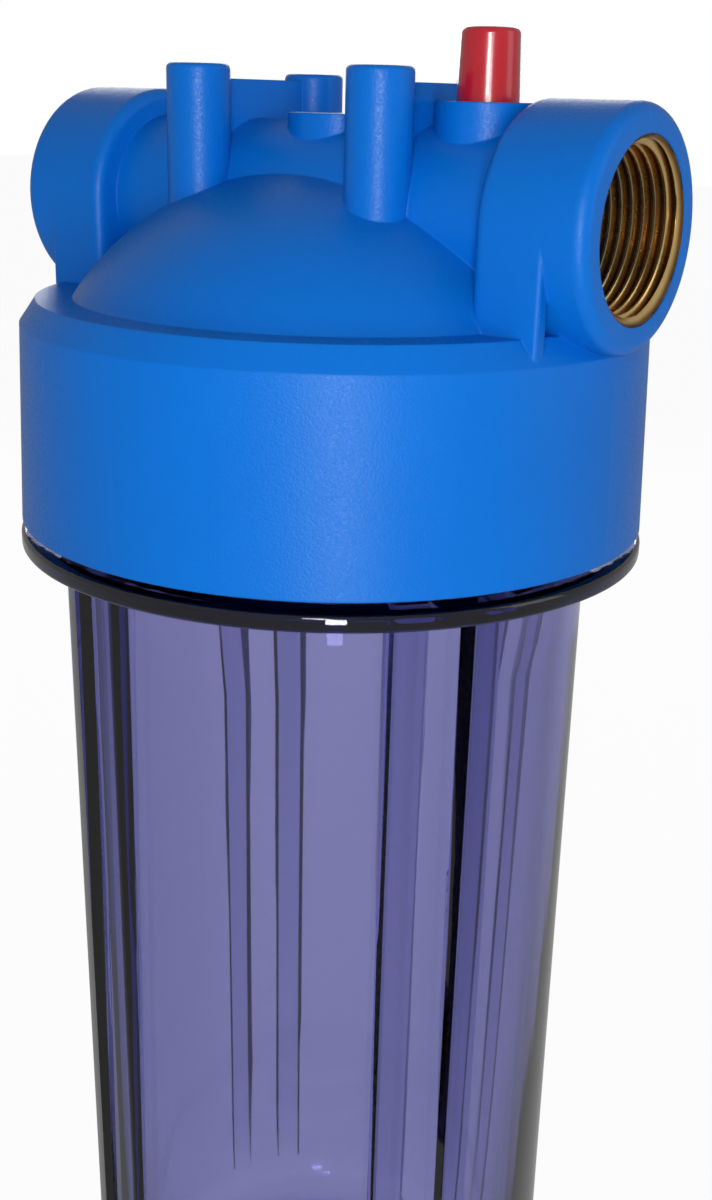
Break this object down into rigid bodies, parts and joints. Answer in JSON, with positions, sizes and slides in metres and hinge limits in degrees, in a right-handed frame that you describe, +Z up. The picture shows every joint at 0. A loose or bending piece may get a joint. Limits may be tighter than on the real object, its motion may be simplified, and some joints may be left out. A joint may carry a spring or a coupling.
{
  "type": "water filter housing",
  "caption": "Cartridge water filter housing: moulded head with threaded brass ports, bracket columns and a release button, over a clear ribbed screw-on bowl.",
  "frame": {"origin": "centre of the bowl's foot, on the surface that the housing stands on", "axes": "+Z up along the housing's axis, +X out of the inlet port below the release button, +Y to the back, away from the bracket columns that the picture shows in front"},
  "size_m": [0.137, 0.1326, 0.3233],
  "materials": {
    "blue_plastic": "satin moulded, fine grain",
    "brass": "machined",
    "clear_plastic": "clear moulded, blue violet tint",
    "black_rubber": "smooth",
    "red_plastic": "glossy moulded",
    "steel": "turned and drawn"
  },
  "bodies": {
    "head": {"head": "blue_plastic", "inlet_insert": "brass", "outlet_insert": "brass", "valve_spring": "steel"},
    "seal_ring": {"bowl_seal": "black_rubber"},
    "bowl": {"bowl": "clear_plastic"},
    "button": {"release_button": "red_plastic", "valve_stem": "steel", "valve_seal": "black_rubber"}
  },
  "joints": [
    {"name": "bowl_travel", "type": "slide", "parent": "head", "child": "seal_ring", "axis": [0, 0, -1], "range_m": [0, 0.027]},
    {"name": "bowl_turn", "type": "hinge", "parent": "seal_ring", "child": "bowl", "pos_m": [0, 0, 0], "axis": [0, 0, -1], "range_deg": [0, 1620]},
    {"name": "button_press", "type": "slide", "parent": "head", "child": "button", "axis": [0, 0, -1], "range_m": [0, 0.0025], "stiffness_N_per_m": 1500, "springref_m": -0.002, "deforming": ["valve_spring"]}
  ],
  "couplings": [
    {"joint": "bowl_travel", "follows": "bowl_turn", "m_per_rad": 0.00095493}
  ]
}
